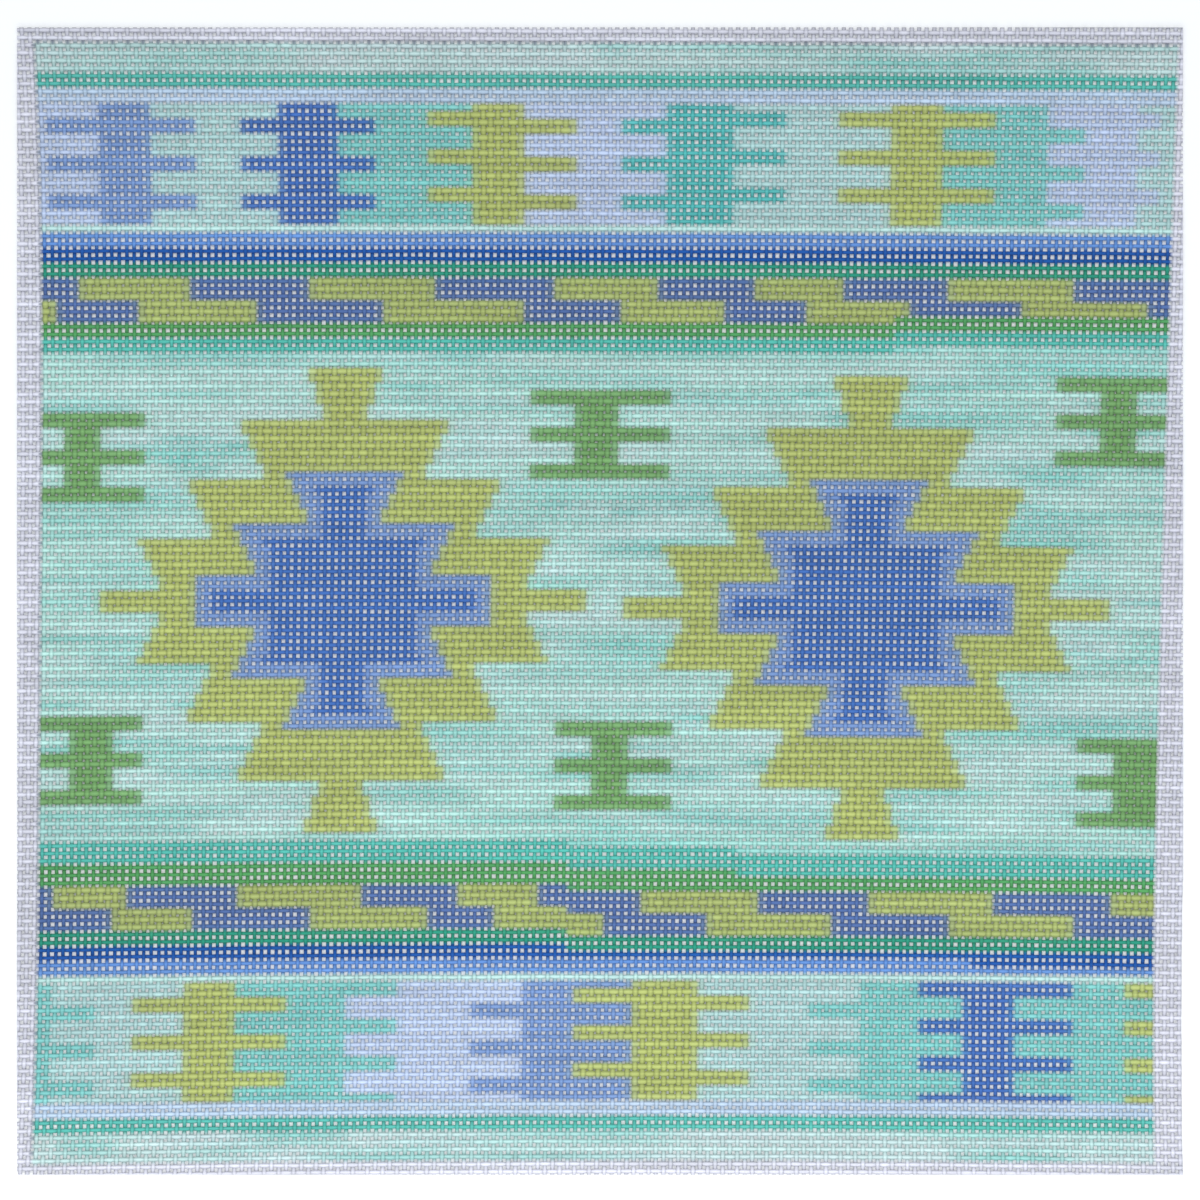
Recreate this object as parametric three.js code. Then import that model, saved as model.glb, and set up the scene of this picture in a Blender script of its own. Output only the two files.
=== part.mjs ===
// Needlepoint canvas panel: one cut of evenweave mono canvas, painted with a kilim
// design and lying flat, face up. Millimetres, +Z up, origin under the middle of the
// cloth, +Y towards the top edge of the design.
import * as THREE from 'three';

// Canvas count: threads to the inch, and the pitch from one thread to the next.
const threadsPerInch = 13;
const inch = 25.4;
const threadPitch = inch / threadsPerInch;

// The cut, counted in threads each way.
const threadsAcross = 157;
const threadsDown = 154.5;
const clothWidth = threadsAcross * threadPitch;
const clothLength = threadsDown * threadPitch;

// A flattened cotton thread: at every crossing one lies on top of the other.
const threadThickness = 0.42;
const clothThickness = 2 * threadThickness;

// The cut edge is soft, since each thread ends in a rounded stub.
const edgeRound = 0.15;
const edgeSteps = 2;

const paintedCanvas = new THREE.MeshStandardMaterial({
  name: 'painted_canvas',
  color: new THREE.Color(0.55, 0.72, 0.7),
  roughness: 0.85,
  metalness: 0,
});

function cutOutline() {
  const outline = new THREE.Shape();
  outline.moveTo(-clothWidth / 2, -clothLength / 2);
  outline.lineTo(clothWidth / 2, -clothLength / 2);
  outline.lineTo(clothWidth / 2, clothLength / 2);
  outline.lineTo(-clothWidth / 2, clothLength / 2);
  outline.closePath();
  return outline;
}

function canvasPanel() {
  const geometry = new THREE.ExtrudeGeometry(cutOutline(), {
    depth: clothThickness - 2 * edgeRound,
    steps: 1,
    bevelEnabled: true,
    bevelThickness: edgeRound,
    bevelSize: edgeRound,
    bevelOffset: -edgeRound,
    bevelSegments: edgeSteps,
  });
  geometry.translate(0, 0, edgeRound);
  const mesh = new THREE.Mesh(geometry, paintedCanvas);
  mesh.name = 'canvas_panel';
  return mesh;
}

const needlepointCanvas = new THREE.Group();
needlepointCanvas.add(canvasPanel());

export default needlepointCanvas;
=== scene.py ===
import math

import bmesh
import bpy
import numpy as np
from mathutils import Matrix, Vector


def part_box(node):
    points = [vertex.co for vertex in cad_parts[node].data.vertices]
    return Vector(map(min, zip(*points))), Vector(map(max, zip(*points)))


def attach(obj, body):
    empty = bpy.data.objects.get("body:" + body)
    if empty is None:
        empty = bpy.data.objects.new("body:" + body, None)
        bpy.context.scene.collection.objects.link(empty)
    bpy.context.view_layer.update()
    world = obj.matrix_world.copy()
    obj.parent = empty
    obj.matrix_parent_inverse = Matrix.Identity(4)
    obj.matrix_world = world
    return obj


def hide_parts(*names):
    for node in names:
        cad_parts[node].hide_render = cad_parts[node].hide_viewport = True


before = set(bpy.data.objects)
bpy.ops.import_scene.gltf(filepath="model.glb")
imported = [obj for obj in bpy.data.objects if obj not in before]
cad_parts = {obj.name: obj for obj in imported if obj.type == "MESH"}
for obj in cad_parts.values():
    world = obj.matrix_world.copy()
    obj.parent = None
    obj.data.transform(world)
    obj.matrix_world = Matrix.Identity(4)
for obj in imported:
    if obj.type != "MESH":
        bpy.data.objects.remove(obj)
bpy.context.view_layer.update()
print("frame loaded")

mm = 0.001
seed = 1306
clothLow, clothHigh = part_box("canvas_panel")

# Rows are wefts, counted from the top edge; columns are warps, from the left of the paint
canvas = {
    "rows": 153,
    "columns": 152,
    "extraRows": (2, 2),          # room above row 0 and below the last row
    "extraColumns": (4, 4),       # bare warps beside the paint, before the cut
    "firstWeft": 0.71 * mm,       # the top edge to row 0, at the left
    "weftSpan": 299.7 * mm,       # row 0 to the last row
    "looseMiddle": 0.74 * mm,     # how far the middle rows have slid down
    "looseTop": 0.68 * mm,        # the top half is woven looser than the bottom half
    "slopeTop": 1.05 * mm,        # how much lower a row is at its right end
    "slopeChange": 1.4 * mm,
    "bowTop": 0.18 * mm,          # how far a row arches up in the middle
    "bowChange": 1.05 * mm,
    "bandCuts": (-2, 25, 51, 77, 103, 128, 154),   # rows where one piece ends and the next starts
}

# How far in from each cut edge the paint lies, down the cloth from 0 to 1
paintInset = [
    # down, left mm, right mm
    (0.00, 4.20, 1.05),
    (0.03, 4.60, 1.15),
    (0.12, 5.85, 2.15),
    (0.20, 6.35, 3.15),
    (0.27, 6.50, 3.75),
    (0.54, 6.05, 5.90),
    (0.80, 5.45, 7.70),
    (0.96, 4.05, 7.50),
    (1.00, 3.70, 7.40),
]

thread = {
    "thickness": (clothHigh.z - clothLow.z) / 2,
    "sides": 5,
    "wander": 0.08 * mm,          # sideways drift of a thread along its length
    "widthDrift": 0.09,           # slubs, as a share of the width
    "turns": 3.0,                 # twist ridges in one pitch
    "lean": 0.3,                  # turns from a thread's middle to its side
    "pace": (0.12, 0.45),         # radians of drift in one pitch
    "slubPace": 3,                # the width drifts this much faster
    "ringsPerPitch": 2,
    "overhang": 0.25,             # how far a tube runs past its end crossings, in pitches
    "lowestCorner": -54.0,        # degrees, on the round of a five-sided tube
}

# Paint as it dries on a thread, in 0 to 255, and how wide it leaves the thread
paints = {
    "bare": {"colour": (202, 202, 213), "halfWidth": 0.59 * mm},
    "aqua": {"colour": (169, 208, 200), "halfWidth": 0.59 * mm},
    "mistAqua": {"colour": (178, 203, 201), "halfWidth": 0.59 * mm},
    "streak": {"colour": (108, 184, 176), "halfWidth": 0.59 * mm},
    "lime": {"colour": (166, 176, 103), "halfWidth": 0.76 * mm},
    "meanderLime": {"colour": (157, 169, 102), "halfWidth": 0.76 * mm},
    "periwinkle": {"colour": (110, 138, 186), "halfWidth": 0.56 * mm},
    "cobalt": {"colour": (58, 100, 168), "halfWidth": 0.52 * mm},
    "leaf": {"colour": (109, 154, 95), "halfWidth": 0.74 * mm},
    "grass": {"colour": (74, 146, 84), "halfWidth": 0.50 * mm},
    "emerald": {"colour": (34, 136, 110), "halfWidth": 0.50 * mm},
    "teal": {"colour": (76, 170, 158), "halfWidth": 0.52 * mm},
    "navy": {"colour": (14, 76, 152), "halfWidth": 0.48 * mm},
    "sky": {"colour": (90, 132, 194), "halfWidth": 0.50 * mm},
    "meanderBlue": {"colour": (74, 100, 152), "halfWidth": 0.52 * mm},
    "combNavy": {"colour": (58, 98, 166), "halfWidth": 0.52 * mm},
    "combTeal": {"colour": (76, 168, 166), "halfWidth": 0.53 * mm},
    "turquoise": {"colour": (116, 184, 180), "halfWidth": 0.60 * mm},
    "mint": {"colour": (164, 197, 196), "halfWidth": 0.59 * mm},
    "lavender": {"colour": (175, 189, 215), "halfWidth": 0.59 * mm},
    "paleLavender": {"colour": (174, 192, 213), "halfWidth": 0.59 * mm},
    "paleLine": {"colour": (176, 210, 204), "halfWidth": 0.57 * mm},
}
paintNames = list(paints)


def smoothstep(x):
    x = np.clip(x, 0, 1)
    return x * x * (3 - 2 * x)


def toLinear(colour):
    c = np.array(colour) / 255
    return np.where(c <= 0.04045, c / 12.92, ((c + 0.055) / 1.055) ** 2.4)


# The chart: one paint for each crossing

chart = np.full((canvas["rows"], canvas["columns"]), paintNames.index("bare"))


def paintBlock(firstRow, lastRow, left, right, paint):
    chart[firstRow:lastRow + 1, left:right] = paintNames.index(paint)


# Full-width stripes, top to bottom
stripes = [
    # first row, last row, paint
    (2, 5, "mistAqua"),
    (6, 7, "teal"),
    (8, 9, "paleLavender"),
    (26, 26, "paleLine"),
    (27, 28, "sky"),
    (29, 30, "navy"),
    (31, 32, "emerald"),
    (39, 40, "grass"),
    (41, 42, "teal"),
    (43, 108, "aqua"),
    (109, 111, "teal"),
    (112, 114, "grass"),
    (115, 121, "meanderBlue"),
    (121, 122, "emerald"),
    (123, 124, "navy"),
    (125, 126, "sky"),
    (127, 127, "paleLine"),
    (144, 145, "paleLavender"),
    (146, 147, "teal"),
    (148, 151, "mistAqua"),
]

# The meanders are two courses of alternate blue and lime runs, one over the other
meanders = [
    # first row, last row, first paint, widths of the runs in threads
    (33, 35, "meanderBlue", (5, 15, 16, 17, 16, 14, 13, 12, 14, 17, 13)),
    (36, 38, "meanderLime", (2, 11, 16, 17, 19, 13, 14, 11, 14, 15, 17, 3)),
    (115, 117, "meanderBlue", (2, 10, 15, 17, 13, 11, 14, 16, 15, 17, 16, 6)),
    (118, 120, "meanderBlue", (10, 11, 16, 16, 9, 15, 14, 17, 16, 17, 11)),
]

# Every comb has bars of so many rows, one each so many rows
combBar = {"rows": 2, "step": 5}

# Comb panels: ground zones side by side, then combs with arms to both sides
combPanels = [
    {
        "rows": (10, 25),
        "zones": [(12, "lavender"), (36, "mint"), (62, "turquoise"), (89, "lavender"),
                  (118, "mint"), (135, "turquoise"), (147, "lavender"), (152, "mint")],
        "combs": [
            # paint, columns of the body, ends of the arms, first bar on the left and on the right
            ("periwinkle", (8, 15), (1, 21), (12, 12)),
            ("combNavy", (32, 40), (27, 45), (12, 12)),
            ("lime", (58, 65), (52, 72), (11, 12)),
            ("combTeal", (84, 93), (78, 100), (12, 11)),
            ("turquoise", (121, 135), (121, 140), (None, 13)),
            ("lime", (114, 121), (107, 128), (11, 11)),
            ("lavender", (140, 147), (140, 150), (None, 11)),
        ],
    },
    {
        "rows": (128, 143),
        "zones": [(2, "turquoise"), (24, "mint"), (42, "turquoise"), (66, "lavender"),
                  (85, "periwinkle"), (112, "mint"), (129, "turquoise"), (152, "turquoise")],
        "combs": [
            ("turquoise", (0, 2), (0, 8), (None, 131)),
            ("turquoise", (27, 42), (27, 49), (None, 128)),
            ("lime", (20, 27), (13, 34), (130, 130)),
            ("periwinkle", (66, 82), (59, 82), (131, None)),
            ("lime", (81, 90), (73, 97), (129, 130)),
            ("turquoise", (112, 126), (105, 126), (131, None)),
            ("combNavy", (126, 133), (120, 141), (128, 128)),
            ("lime", (152, 152), (148, 152), (128, None)),
        ],
    },
]

# Small combs of three bars in the field, all of the same height
smallCombRows = 12
smallCombs = [
    # first row, columns of the bars, columns of the body
    (51, (0, 14), (3, 8)),
    (48, (66, 85), (72, 78)),
    (46, (137, 152), (143, 148)),
    (92, (0, 14), (4, 10)),
    (93, (70, 86), (75, 80)),
    (95, (141, 152), (146, 152)),
]

# One stepped medallion, the same left and right and above and below, that is set twice.
# Its tiers go from the tip to the middle, and all but the middle one slant in like a dovetail.
medallion = {
    "middles": [(41, 76), (112, 77)],   # column, row
    # rows, half width at the tier's outer end, at its inner end
    "lime": [(7, 5, 3), (8, 14, 11), (8, 21, 18), (7, 28, 25), (3, 33, 33)],
    "periwinkle": [(7, 8, 5), (7, 15, 12), (7, 20, 20)],
    "outline": 2,                       # threads of periwinkle left round the cobalt core
}

# Where stripes and meanders slide by a thread, from a column to the right edge
slides = [
    # first row, last row, from column, threads down
    (38, 42, 115, -1),
    (109, 123, 72, 1),
    (109, 115, 95, 1),
    (125, 125, 127, 1),
]


def paintCourse(firstRow, lastRow, firstPaint, widths):
    pair = ["meanderBlue", "meanderLime"]
    if firstPaint == "meanderLime":
        pair.reverse()
    left = 0
    for step, width in enumerate(widths):
        paintBlock(firstRow, lastRow, left, left + width, pair[step % 2])
        left += width


def slideStripes(firstRow, lastRow, left, down):
    chart[firstRow:lastRow + 1, left:] = chart[firstRow - down:lastRow + 1 - down, left:].copy()


def paintBars(firstRow, lastRow, left, right, paint):
    for row in range(firstRow, lastRow + 1, combBar["step"]):
        paintBlock(row, min(row + combBar["rows"] - 1, lastRow), left, right, paint)


def paintComb(rows, paint, body, arms, firstBars):
    paintBlock(*rows, *body, paint)
    if firstBars[0] is not None:
        paintBars(firstBars[0], rows[1], arms[0], body[0], paint)
    if firstBars[1] is not None:
        paintBars(firstBars[1], rows[1], body[1], arms[1], paint)


def tierMask(tiers, column, row):
    *outer, middle = tiers
    upper = [w for rows, tip, root in outer for w in np.linspace(tip, root, rows)]
    widths = upper + [middle[1]] * middle[0] + upper[::-1]
    first = row - len(widths) // 2
    half = np.zeros((canvas["rows"], 1))
    half[first:first + len(widths), 0] = widths
    return abs(np.arange(canvas["columns"]) + 0.5 - column) < half


# The part of a shape that lies at least so many threads inside its outline
def innerPart(mask, threads):
    inner = mask.copy()
    for dr in range(-threads, threads + 1):
        for dc in range(-threads, threads + 1):
            inner &= np.roll(mask, (dr, dc), (0, 1))
    return inner


for firstRow, lastRow, paint in stripes:
    paintBlock(firstRow, lastRow, 0, canvas["columns"], paint)
for course in meanders:
    paintCourse(*course)
for slide in slides:
    slideStripes(*slide)
for panel in combPanels:
    left = 0
    for right, paint in panel["zones"]:
        paintBlock(*panel["rows"], left, right, paint)
        left = right
    for comb in panel["combs"]:
        paintComb(panel["rows"], *comb)
for firstRow, bars, body in smallCombs:
    lastRow = firstRow + smallCombRows - 1
    paintBlock(firstRow, lastRow, *body, "leaf")
    paintBars(firstRow, lastRow, *bars, "leaf")
for middle in medallion["middles"]:
    chart[tierMask(medallion["lime"], *middle)] = paintNames.index("lime")
    inner = tierMask(medallion["periwinkle"], *middle)
    chart[inner] = paintNames.index("periwinkle")
    chart[innerPart(inner, medallion["outline"])] = paintNames.index("cobalt")
print("design charted:", chart.shape[1], "by", chart.shape[0], "threads")

# Brushwork: how the paint varies from crossing to crossing
brush = {
    "marks": 640,                 # strokes tried over the whole cloth, dark ones and dry ones alike
    "markLength": (6, 38),        # threads
    "markStrength": (0.15, 0.75),
    "markDrift": 0.03,            # how far a stroke strays from its row in one thread, at most
    "markHalfHeights": [0.6, 1.0, 1.7],   # rows
    "markReach": 2,               # rows to each side that a stroke can touch
    "markLead": 10,               # threads before the paint where a stroke may begin
    "markTaper": 0.5,
    "markCore": 1.2,              # over 1, so that a stroke has full strength on its own row
    "grain": 0.035,               # crossing to crossing
    "rowShade": 0.045,            # weft to weft
    "rowShadeCell": (1, 18),      # rows and threads over which that shade changes
    "patchShade": 0.05,           # slow change from place to place
    "patchCell": (30, 34),
    "bleedAlong": 0.12,           # wet paint creeping to the next crossing of the row
    "bleedAcross": 0.03,          # and to the rows beside it
    "streakedPaints": ("aqua", "mistAqua"),
    "dryShare": 0.4,              # how pale a dry stroke leaves them
}


def smoothNoise(rng, shape, cell):
    rows, columns = (int(math.ceil(n / c)) + 2 for n, c in zip(shape, cell))
    knots = rng.standard_normal((rows, columns))
    r = np.arange(shape[0]) / cell[0]
    c = np.arange(shape[1]) / cell[1]
    r0, c0 = r.astype(int), c.astype(int)
    fr, fc = smoothstep(r - r0)[:, None], smoothstep(c - c0)[None, :]
    top = knots[r0][:, c0] * (1 - fc) + knots[r0][:, c0 + 1] * fc
    low = knots[r0 + 1][:, c0] * (1 - fc) + knots[r0 + 1][:, c0 + 1] * fc
    return top * (1 - fr) + low * fr


def strokeMask(rng):
    mask = np.zeros(chart.shape)
    for _ in range(brush["marks"]):
        row = rng.integers(0, canvas["rows"])
        start = rng.uniform(-brush["markLead"], canvas["columns"])
        length = rng.uniform(*brush["markLength"])
        strength = rng.uniform(*brush["markStrength"])
        drift = rng.uniform(-brush["markDrift"], brush["markDrift"])
        thick = rng.choice(brush["markHalfHeights"])
        along = (np.arange(canvas["columns"]) + 0.5 - start) / length
        swell = np.sin(np.pi * np.clip(along, 0, 1)) ** brush["markTaper"]
        taper = np.where((along > 0) & (along < 1), swell, 0)
        for r in range(max(row - brush["markReach"], 0), min(row + brush["markReach"] + 1, canvas["rows"])):
            line = row + drift * along * length
            body = np.clip(brush["markCore"] - abs(r - line) / thick, 0, 1)
            mask[r] = np.maximum(mask[r], strength * taper * body)
    return mask


def paintGrid():
    rng = np.random.default_rng(seed)
    linear = np.array([toLinear(paints[n]["colour"]) for n in paintNames])
    mixed = linear[chart]
    strokes = strokeMask(rng)
    dryStrokes = strokeMask(np.random.default_rng(seed + 2)) * brush["dryShare"]
    streaked = np.isin(chart, [paintNames.index(name) for name in brush["streakedPaints"]])
    for mask, paint in ((dryStrokes, "bare"), (strokes, "streak")):
        share = (mask * streaked)[..., None]
        mixed = mixed * (1 - share) + linear[paintNames.index(paint)] * share
    along, across = brush["bleedAlong"], brush["bleedAcross"]
    near = np.pad(mixed, ((1, 1), (1, 1), (0, 0)), mode="edge")
    mixed = (mixed * (1 - 2 * along - 2 * across)
             + (near[1:-1, :-2] + near[1:-1, 2:]) * along
             + (near[:-2, 1:-1] + near[2:, 1:-1]) * across)
    above, below = canvas["extraRows"]
    before, after = canvas["extraColumns"]
    size = (canvas["rows"] + above + below, canvas["columns"] + before + after)
    grid = np.tile(linear[paintNames.index("bare")], (*size, 1))
    grid[above:above + canvas["rows"], before:before + canvas["columns"]] = mixed
    shade = 1 + brush["grain"] * rng.standard_normal(size)
    shade += brush["rowShade"] * smoothNoise(rng, size, brush["rowShadeCell"])
    shade += brush["patchShade"] * smoothNoise(rng, size, brush["patchCell"])
    return grid * shade[..., None]


def widthGrid():
    widths = np.array([paints[n]["halfWidth"] for n in paintNames])
    above, below = canvas["extraRows"]
    return np.pad(widths[chart], ((above, below), canvas["extraColumns"]),
                  constant_values=paints["bare"]["halfWidth"])


colours, halfWidths = paintGrid(), widthGrid()
print("paint mixed")


# The loom: where each crossing lies on the cloth

def weftDepth(row, across):
    s = row / (canvas["rows"] - 1)
    even = canvas["firstWeft"] + canvas["weftSpan"] * s
    loose = canvas["looseMiddle"] * np.sin(np.pi * s) + canvas["looseTop"] * np.sin(2 * np.pi * s)
    slope = (canvas["slopeTop"] - canvas["slopeChange"] * s) * across
    bow = (canvas["bowTop"] + canvas["bowChange"] * s) * 4 * across * (1 - across)
    return even + loose + slope - bow


insetFit = [np.polyfit([p[0] for p in paintInset], [p[k] for p in paintInset], 4) for k in (1, 2)]


def crossing(column, row):
    before, after = canvas["extraColumns"]
    across = (column + before - 1) / (canvas["columns"] + before + after - 2)
    depth = weftDepth(row, across)
    down = np.clip(depth / (clothHigh.y - clothLow.y), 0, 1)
    left = clothLow.x + np.polyval(insetFit[0], down) * mm
    right = clothHigh.x - np.polyval(insetFit[1], down) * mm
    x = left + (right - left) * (column + 0.5) / canvas["columns"]
    return x, clothHigh.y - depth


# A straight row of closed tubes along Y, stepped twice in each pitch, tubeSpacing apart
tubeSpacing = 4.0


def tubeRow(name, count, first, last):
    bm = bmesh.new()
    length = last - first + 2 * thread["overhang"]
    bmesh.ops.create_cone(bm, cap_ends=True, segments=thread["sides"],
                          radius1=1, radius2=1, depth=length)
    bmesh.ops.rotate(bm, verts=bm.verts, matrix=Matrix.Rotation(math.radians(90), 3, "X"))
    bmesh.ops.translate(bm, verts=bm.verts, vec=(0, (first + last) / 2, 0))
    lengthwise = [e for e in bm.edges if abs(e.verts[0].co.y - e.verts[1].co.y) > 0.1]
    bmesh.ops.subdivide_edges(bm, edges=lengthwise, cuts=round(length * thread["ringsPerPitch"]) - 1)
    bmesh.ops.recalc_face_normals(bm, faces=bm.faces)
    mesh = bpy.data.meshes.new(name)
    bm.to_mesh(mesh)
    bm.free()
    tubes = bpy.data.objects.new(name, mesh)
    bpy.context.collection.objects.link(tubes)
    array = tubes.modifiers.new("threads", "ARRAY")
    array.count = count
    array.use_relative_offset = False
    array.use_constant_offset = True
    array.constant_offset_displace = (tubeSpacing, 0, 0)
    shown = tubes.evaluated_get(bpy.context.evaluated_depsgraph_get())
    laid = bpy.data.meshes.new_from_object(shown)
    bpy.data.objects.remove(tubes)
    bpy.data.meshes.remove(mesh)
    return laid


def readPoints(mesh):
    points = np.empty(len(mesh.vertices) * 3, np.float32)
    mesh.vertices.foreach_get("co", points)
    return points.reshape(-1, 3).astype(float)


def storePoints(mesh, name, kind, values):
    layer = mesh.attributes.new(name, kind, "POINT")
    field = "color" if kind == "FLOAT_COLOR" else "vector"
    layer.data.foreach_set(field, np.ascontiguousarray(values, np.float32).ravel())


# Slow sideways drift and slubs, one set of waves for each thread
def threadDrift(rng, count):
    waves = rng.uniform(0, 2 * np.pi, (count, 4))
    pace = rng.uniform(*thread["pace"], (count, 4))
    return waves, pace


driftRng = np.random.default_rng(seed + 1)
warpWaves = threadDrift(driftRng, canvas["columns"] + sum(canvas["extraColumns"]) + 1)
weftWaves = threadDrift(driftRng, canvas["rows"] + sum(canvas["extraRows"]) + 1)


def driftAt(waves, number, along, pick):
    phase, pace = waves
    k = number.astype(int)
    total = 0
    for n in pick:
        total = total + np.sin(phase[k, n] + pace[k, n] * along)
    return total / len(pick)


# A pencil line pulled along the groove between two threads marks the threads it crosses
pencil = {
    "colour": (104, 112, 126),
    "topRow": 1.5,
    "bottomRow": canvas["rows"] - 2,
    "reach": 0.3,                 # how near the line a ring of a thread has to be, in pitches
    "sideColumns": (-0.5, canvas["columns"] - 0.5),
    "topStrengths": (0.75, 0.55),  # on even threads, on odd threads
    "leftStrengths": (0.72, 0.5),
    "rightStrengths": (0.4, 0.2),
    "faintest": 0.35,             # a fainter mark does not show
    "contrast": 2,
    "core": 1.3,                  # over 1, so that the mark is full on the thread's crown
    "falloff": 3,                 # how fast it fades towards the thread's sides
}


def pencilShare(warp, column, row):
    left, right = pencil["sideColumns"]
    if warp:
        odd = np.round(column).astype(int) % 2
        near = (abs(row - pencil["topRow"]) < pencil["reach"]) & (column > left) & (column < right)
        return near * np.array(pencil["topStrengths"])[odd]
    odd = np.round(row).astype(int) % 2
    inside = (row > pencil["topRow"]) & (row < pencil["bottomRow"])
    share = (abs(column - left) < pencil["reach"]) * np.array(pencil["leftStrengths"])[odd]
    share = share + (abs(column - right) < pencil["reach"]) * np.array(pencil["rightStrengths"])[odd]
    return share * inside


# Bends straight tubes into the weave: each thread goes over and under by turns
def weave(mesh, warp, firstNumber, endRows):
    points = readPoints(mesh)
    number = np.round(points[:, 0] / tubeSpacing)
    side = points[:, 0] - number * tubeSpacing
    along = points[:, 1]
    rise = points[:, 2]
    if warp:
        along = np.clip(along, *endRows)
    threadNumber = number + firstNumber
    nearest = np.round(along)
    column, row = (threadNumber, along) if warp else (along, threadNumber)
    crossColumn, crossRow = (threadNumber, nearest) if warp else (nearest, threadNumber)
    x, y = crossing(column, row)
    waves = warpWaves if warp else weftWaves
    key = threadNumber + (canvas["extraColumns"][0] if warp else canvas["extraRows"][0])
    drift = thread["wander"] * driftAt(waves, key, along, (0, 1))
    above, before = canvas["extraRows"][0], canvas["extraColumns"][0]
    r = np.clip(crossRow + above, 0, colours.shape[0] - 1).astype(int)
    c = np.clip(crossColumn + before, 0, colours.shape[1] - 1).astype(int)
    slubs = thread["widthDrift"] * driftAt(waves, key, along * thread["slubPace"], (2, 3))
    halfWidth = halfWidths[r, c] * (1 + slubs)
    over = (crossColumn + crossRow) % 2 == (0 if warp else 1)
    bottomOut = np.sin(math.radians(thread["lowestCorner"]))
    share = (rise - bottomOut) / (1 - bottomOut)
    z = clothLow.z + thread["thickness"] * (over + share)
    if warp:
        x = x + drift - side * halfWidth
    else:
        y = y + drift - side * halfWidth
    mesh.vertices.foreach_set("co", np.stack([x, y, z], 1).astype(np.float32).ravel())
    painted = np.column_stack([colours[r, c], pencilShare(warp, column, row)])
    storePoints(mesh, "paint", "FLOAT_COLOR", painted)
    isWarp = np.full(len(x), float(warp))
    storePoints(mesh, "lay", "FLOAT_VECTOR", np.column_stack([side, along, isWarp]))
    mesh.update()


# Points nearer to the scissor line than this, in metres, count as on it
cutSlack = 1e-7


# Cuts off what lies past the scissor line, and closes the cut threads
def trim(bm, isEnd):
    planes = [((clothHigh.x, 0, 0), (1, 0, 0)), ((clothLow.x, 0, 0), (-1, 0, 0))]
    if isEnd[0]:
        planes.append(((0, clothHigh.y, 0), (0, 1, 0)))
    if isEnd[1]:
        planes.append(((0, clothLow.y, 0), (0, -1, 0)))
    for place, facing in planes:
        everything = bm.verts[:] + bm.edges[:] + bm.faces[:]
        bmesh.ops.bisect_plane(bm, geom=everything, dist=cutSlack, plane_co=place,
                               plane_no=facing, clear_outer=True)
    rims = [e for e in bm.edges if e.is_boundary]
    for face in bmesh.ops.holes_fill(bm, edges=rims, sides=0)["faces"]:
        face.smooth = False


# Places on the map, as shares of its side
bakeMap = {
    "left": 0.01,
    "width": 0.98,
    "strip": 0.24,                # height of each of the four strips
    "stripFoot": 0.02,            # as a share of the strip
    "stripFill": 0.96,
    "warpEnds": 0.962,            # the cut ends of the threads lie above the strips
    "weftEnds": 0.982,
    "endHeight": 0.015,
}


# A map of four strips, so that no thread hides another: warps and wefts, tops and undersides
def mapBand(bm, lowY, highY):
    uvLayer = bm.loops.layers.uv.new("OFBake")
    lay = bm.verts.layers.float_vector["lay"]
    width = clothHigh.x - clothLow.x
    tall = clothHigh.z - clothLow.z
    for face in bm.faces:
        warp = face.verts[0][lay].z > 0.5
        strip = (0 if warp else 2) + (0 if face.normal.z > 0 else 1)
        for loop in face.loops:
            place = loop.vert.co
            across = (place.x - clothLow.x) / width
            up = (place.y - lowY) / (highY - lowY)
            u = bakeMap["left"] + bakeMap["width"] * (across if warp or face.smooth else up)
            v = bakeMap["warpEnds"] if warp else bakeMap["weftEnds"]
            v += bakeMap["endHeight"] * place.z / tall
            if face.smooth:
                v = (strip + bakeMap["stripFoot"] + bakeMap["stripFill"] * up) * bakeMap["strip"]
            loop[uvLayer].uv = (u, v)


def band(number, material):
    firstRow, lastRow = canvas["bandCuts"][number:number + 2]
    before, after = canvas["extraColumns"]
    firstColumn, lastColumn = -before, canvas["columns"] + after - 1
    warps = tubeRow("warps", lastColumn - firstColumn + 1, firstRow, lastRow)
    weave(warps, True, firstColumn, (firstRow, lastRow))
    wefts = tubeRow("wefts", lastRow - firstRow, firstColumn, lastColumn)
    weave(wefts, False, firstRow + 1, None)
    bm = bmesh.new()
    for mesh in (warps, wefts):
        bm.from_mesh(mesh)
        bpy.data.meshes.remove(mesh)
    for face in bm.faces:
        face.smooth = len(face.verts) == 4
    bandCount = len(canvas["bandCuts"]) - 1
    trim(bm, (number == 0, number == bandCount - 1))
    bm.normal_update()
    ys = [v.co.y for v in bm.verts]
    mapBand(bm, min(ys), max(ys))
    name = f"canvas_band_{number + 1}"
    mesh = bpy.data.meshes.new(name)
    bm.to_mesh(mesh)
    bm.free()
    piece = bpy.data.objects.new(name, mesh)
    bpy.context.collection.objects.link(piece)
    mesh.materials.append(material)
    ends = [crossing(canvas["columns"] / 2, r)[1] for r in (firstRow, lastRow)]
    top, bottom = min(ends[0], clothHigh.y), max(ends[1], clothLow.y)
    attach(piece, "root")
    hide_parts("canvas_panel")
    float(top - bottom)
    print("band", number + 1, "woven:", len(mesh.polygons), "faces")
    return piece


# Shader maths written as plain expressions

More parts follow.
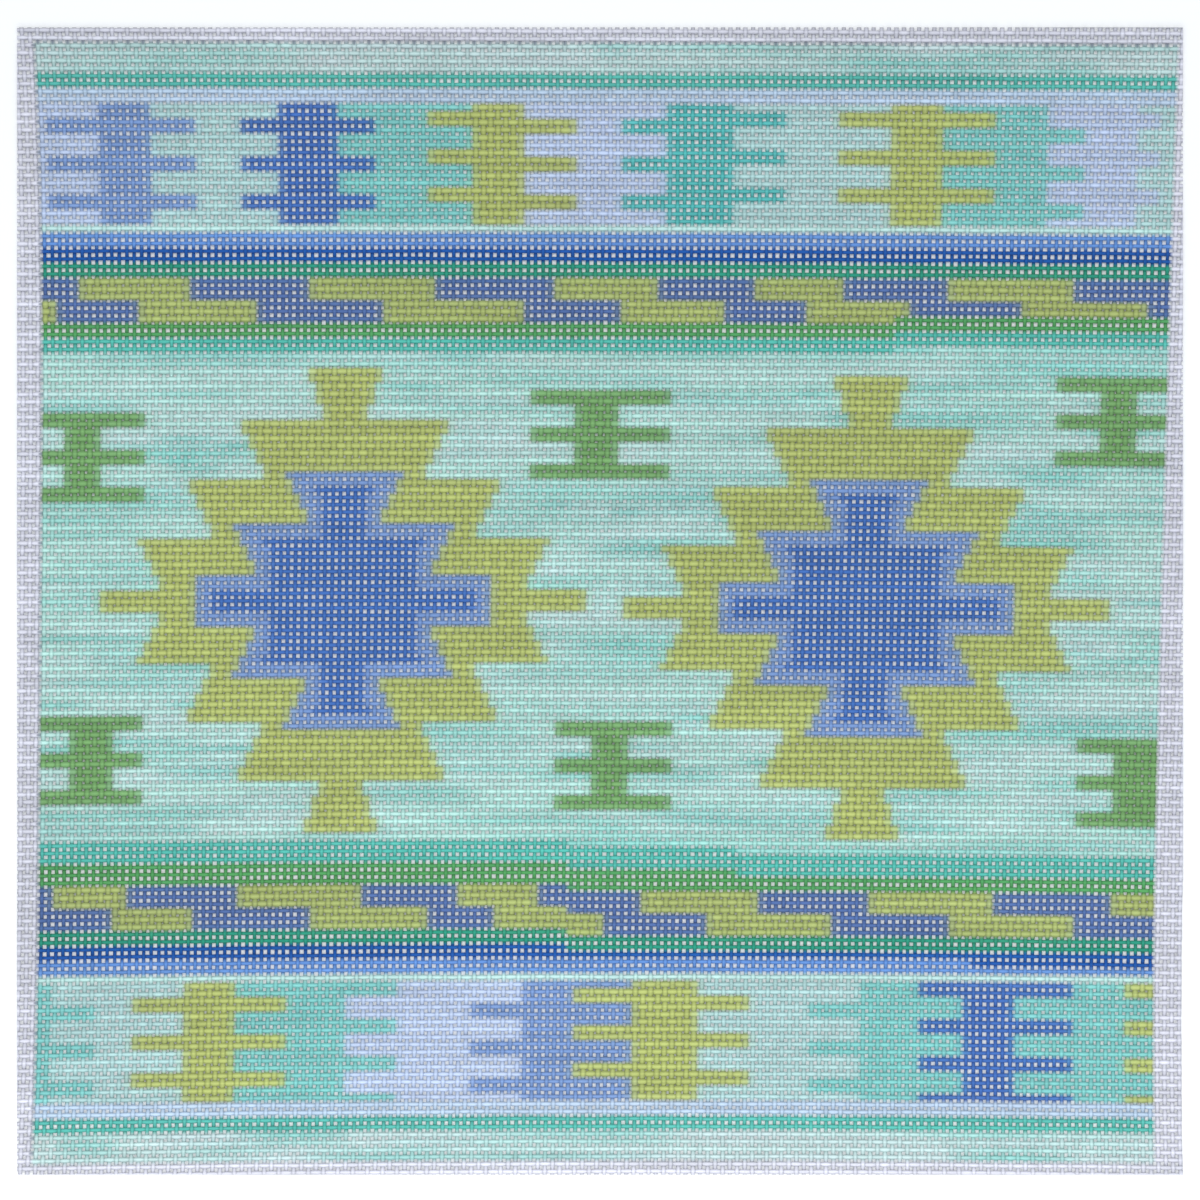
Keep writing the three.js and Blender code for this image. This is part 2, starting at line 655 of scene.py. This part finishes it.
class Wire:
    def __init__(self, tree, socket):
        self.tree = tree
        self.socket = socket

    def maths(self, operation, first, second):
        node = addNode(self.tree, "ShaderNodeMath", {"operation": operation}, {0: first, 1: second})
        return Wire(self.tree, node.outputs[0])

    def __add__(self, other):
        return self.maths("ADD", self, other)

    def __radd__(self, other):
        return self.maths("ADD", other, self)

    def __sub__(self, other):
        return self.maths("SUBTRACT", self, other)

    def __rsub__(self, other):
        return self.maths("SUBTRACT", other, self)

    def __mul__(self, other):
        return self.maths("MULTIPLY", self, other)

    def __rmul__(self, other):
        return self.maths("MULTIPLY", other, self)

    def __truediv__(self, other):
        return self.maths("DIVIDE", self, other)


def addNode(tree, kind, settings, inputs):
    node = tree.nodes.new(kind)
    for name, value in settings.items():
        setattr(node, name, value)
    for key, value in inputs.items():
        if isinstance(value, Wire):
            tree.links.new(value.socket, node.inputs[key])
        else:
            node.inputs[key].default_value = value
    return node


def clamped(value):
    return Wire(value.tree, addNode(value.tree, "ShaderNodeClamp", {}, {0: value}).outputs[0])


def mixColours(tree, blend, share, first, second):
    node = addNode(tree, "ShaderNodeMix", {"data_type": "RGBA", "blend_type": blend},
                   {0: share, 6: first, 7: second})
    return Wire(tree, node.outputs[2])


finish = {
    "roughness": 0.72,
    "roughnessSpread": 0.16,
    "paintedHeightShade": 0.05,            # painted highlight on the top of the cloth and painted shade in its depth
    "weftHighlight": 0.15,              # painted highlight: how much paler the crown of a weft is painted
    "warpHighlight": 0.04,
    "highlightWidth": 0.6,              # as a share of the half width
    "knuckle": 0.17,              # reach of the painted highlight where a warp tops a weft, as a share of the pitch
    "warpPaintedShade": 0.10,            # warps painted darker than wefts away from their crossings: painted shade between the lit rows
    "grainScale": 2600.0,         # fibres, per metre
    "grainShade": 0.08,
    "twistRelief": 0.35,          # height of a twist ridge beside that of the fibres
    "poolScale": 700.0,           # where the brush left more paint
    "poolShade": 0.12,
    "cutEdge": 0.4 * mm,          # the threads along the top edge are painted greyer this far in
    "cutShade": 0.5,
    "cutColour": (150, 150, 148),
    "bumpDepth": 0.05 * mm,
    "bumpStrength": 0.5,
    "specular": 0.2,
    "fuzz": 0.06,                 # sheen of cotton fibres
    "fuzzRoughness": 0.6,
}


def shaderColour(colour):
    return (*(float(c) for c in toLinear(colour)), 1.0)


def paintedCotton():
    material = bpy.data.materials.new("painted_cotton_canvas")
    material.use_nodes = True
    tree = material.node_tree
    shader = tree.nodes["Principled BSDF"]
    painted = addNode(tree, "ShaderNodeAttribute", {"attribute_name": "paint"}, {})
    paint, drawn = (Wire(tree, painted.outputs[n]) for n in ("Color", "Alpha"))
    lay = Wire(tree, addNode(tree, "ShaderNodeAttribute", {"attribute_name": "lay"}, {}).outputs["Vector"])
    split = addNode(tree, "ShaderNodeSeparateXYZ", {}, {0: lay})
    side, along, warp = (Wire(tree, split.outputs[n]) for n in range(3))
    place = Wire(tree, addNode(tree, "ShaderNodeTexCoord", {}, {}).outputs["Object"])
    spot = addNode(tree, "ShaderNodeSeparateXYZ", {}, {0: place})
    northing, height = (Wire(tree, spot.outputs[n]) for n in (1, 2))
    fibres = Wire(tree, addNode(tree, "ShaderNodeTexNoise", {},
                                {"Vector": place, "Scale": finish["grainScale"], "Detail": 2.0}).outputs[0])
    pool = Wire(tree, addNode(tree, "ShaderNodeTexNoise", {},
                              {"Vector": place, "Scale": finish["poolScale"], "Detail": 3.0}).outputs[0])
    turn = (along * thread["turns"] + side * thread["lean"]) * (2 * math.pi)
    twist = Wire(tree, addNode(tree, "ShaderNodeMath", {"operation": "SINE"}, {0: turn}).outputs[0])
    # Painted highlight on the top of the cloth and painted shade in its depth, by height
    crown = (height - thread["thickness"]) / thread["thickness"]
    shade = 1 + crown * finish["paintedHeightShade"] + (pool - 0.5) * finish["poolShade"]
    shade = shade + (fibres - 0.5) * finish["grainShade"]
    # Painted highlight along the crown of each thread, and on a warp where it tops a weft
    ridge = clamped(1 - side * side / finish["highlightWidth"] ** 2)
    nearest = Wire(tree, addNode(tree, "ShaderNodeMath", {"operation": "ROUND"}, {0: along}).outputs[0])
    offset = (along - nearest) / finish["knuckle"]
    knuckle = clamped(1 - offset * offset)
    threadHighlight = ridge * (finish["weftHighlight"] + warp * (finish["warpHighlight"] - finish["weftHighlight"]))
    threadHighlight = threadHighlight + knuckle * warp * (finish["weftHighlight"] + finish["warpPaintedShade"] - finish["warpHighlight"])
    # Warps painted darker between crossings: painted shade
    shade = shade - warp * finish["warpPaintedShade"] + threadHighlight
    scaled = addNode(tree, "ShaderNodeVectorMath", {"operation": "SCALE"}, {0: paint, 3: shade})
    tone = Wire(tree, scaled.outputs[0])
    line = clamped((drawn - pencil["faintest"]) * pencil["contrast"])
    line = line * clamped(pencil["core"] - side * side * pencil["falloff"])
    tone = mixColours(tree, "MIX", line, tone, shaderColour(pencil["colour"]))
    # Threads along the top cut are painted greyer, fading out over cutEdge
    topCutGrey = clamped((northing - (clothHigh.y - finish["cutEdge"])) / finish["cutEdge"]) * finish["cutShade"]
    tone = mixColours(tree, "MIX", topCutGrey, tone, shaderColour(finish["cutColour"]))
    relief = twist * finish["twistRelief"] + fibres
    bump = addNode(tree, "ShaderNodeBump", {},
                   {"Strength": finish["bumpStrength"], "Distance": finish["bumpDepth"], "Height": relief})
    tree.links.new(tone.socket, shader.inputs["Base Color"])
    rough = finish["roughness"] + (fibres - 0.5) * finish["roughnessSpread"]
    tree.links.new(rough.socket, shader.inputs["Roughness"])
    tree.links.new(bump.outputs[0], shader.inputs["Normal"])
    shader.inputs["Specular IOR Level"].default_value = finish["specular"]
    shader.inputs["Sheen Weight"].default_value = finish["fuzz"]
    shader.inputs["Sheen Roughness"].default_value = finish["fuzzRoughness"]
    return material


cotton = paintedCotton()
for number in range(len(canvas["bandCuts"]) - 1):
    band(number, cotton)

studio = {
    "floorSize": 3.0,
    "floorColour": (0.93, 0.93, 0.93),
    "floorRoughness": 0.9,
    "skyColour": (0.90, 0.95, 1.0),
    "skyStrength": 0.84,
    "keyStrength": 0.95,
    "keyColour": (1.0, 0.985, 0.96),
    "keyElevation": 52.0,
    "keySoftness": 35.0,
    "lampPlace": (0, -0.32, 0.2),  # a wide soft lamp past the bottom edge
    "lampSize": (0.7, 0.12),
    "lampPower": 0.6,
    "lampTilt": 45.0,             # degrees up from straight down, towards the cloth
    "cameraHeight": 1.7,
    "frameWidth": 315.7 * mm,
    "frameShiftY": 0.26 * mm,
    "sensor": 36.0,
}


def layFloor():
    bm = bmesh.new()
    bmesh.ops.create_grid(bm, x_segments=1, y_segments=1, size=studio["floorSize"] / 2)
    mesh = bpy.data.meshes.new("floor")
    bm.to_mesh(mesh)
    bm.free()
    floor = bpy.data.objects.new("floor", mesh)
    bpy.context.collection.objects.link(floor)
    material = bpy.data.materials.new("pale_floor")
    material.use_nodes = True
    shader = material.node_tree.nodes["Principled BSDF"]
    shader.inputs["Base Color"].default_value = (*studio["floorColour"], 1)
    shader.inputs["Roughness"].default_value = studio["floorRoughness"]
    mesh.materials.append(material)


def lightScene():
    world = bpy.data.worlds.new("soft_sky")
    world.use_nodes = True
    background = world.node_tree.nodes["Background"]
    background.inputs[0].default_value = (*studio["skyColour"], 1)
    background.inputs[1].default_value = studio["skyStrength"]
    bpy.context.scene.world = world
    sun = bpy.data.lights.new("key", "SUN")
    sun.energy = studio["keyStrength"]
    sun.color = studio["keyColour"]
    sun.angle = math.radians(studio["keySoftness"])
    key = bpy.data.objects.new("key", sun)
    key.rotation_euler = (math.radians(studio["keyElevation"] - 90), 0, 0)
    bpy.context.collection.objects.link(key)
    panel = bpy.data.lights.new("lamp", "AREA")
    panel.shape = "RECTANGLE"
    panel.size, panel.size_y = studio["lampSize"]
    panel.energy = studio["lampPower"]
    lamp = bpy.data.objects.new("lamp", panel)
    lamp.location = studio["lampPlace"]
    lamp.rotation_euler = (math.radians(studio["lampTilt"]), 0, 0)
    lamp.visible_camera = False
    bpy.context.collection.objects.link(lamp)


def setCamera():
    lens = bpy.data.cameras.new("camera")
    lens.sensor_width = studio["sensor"]
    height = studio["cameraHeight"]
    clothTop = clothHigh.z
    lens.lens = studio["sensor"] * (height - clothTop) / studio["frameWidth"]
    camera = bpy.data.objects.new("camera", lens)
    camera.location = (0, studio["frameShiftY"], height)
    bpy.context.collection.objects.link(camera)
    bpy.context.scene.camera = camera
    bpy.context.scene.view_settings.view_transform = "Standard"


layFloor()
lightScene()
setCamera()
print("stage set")
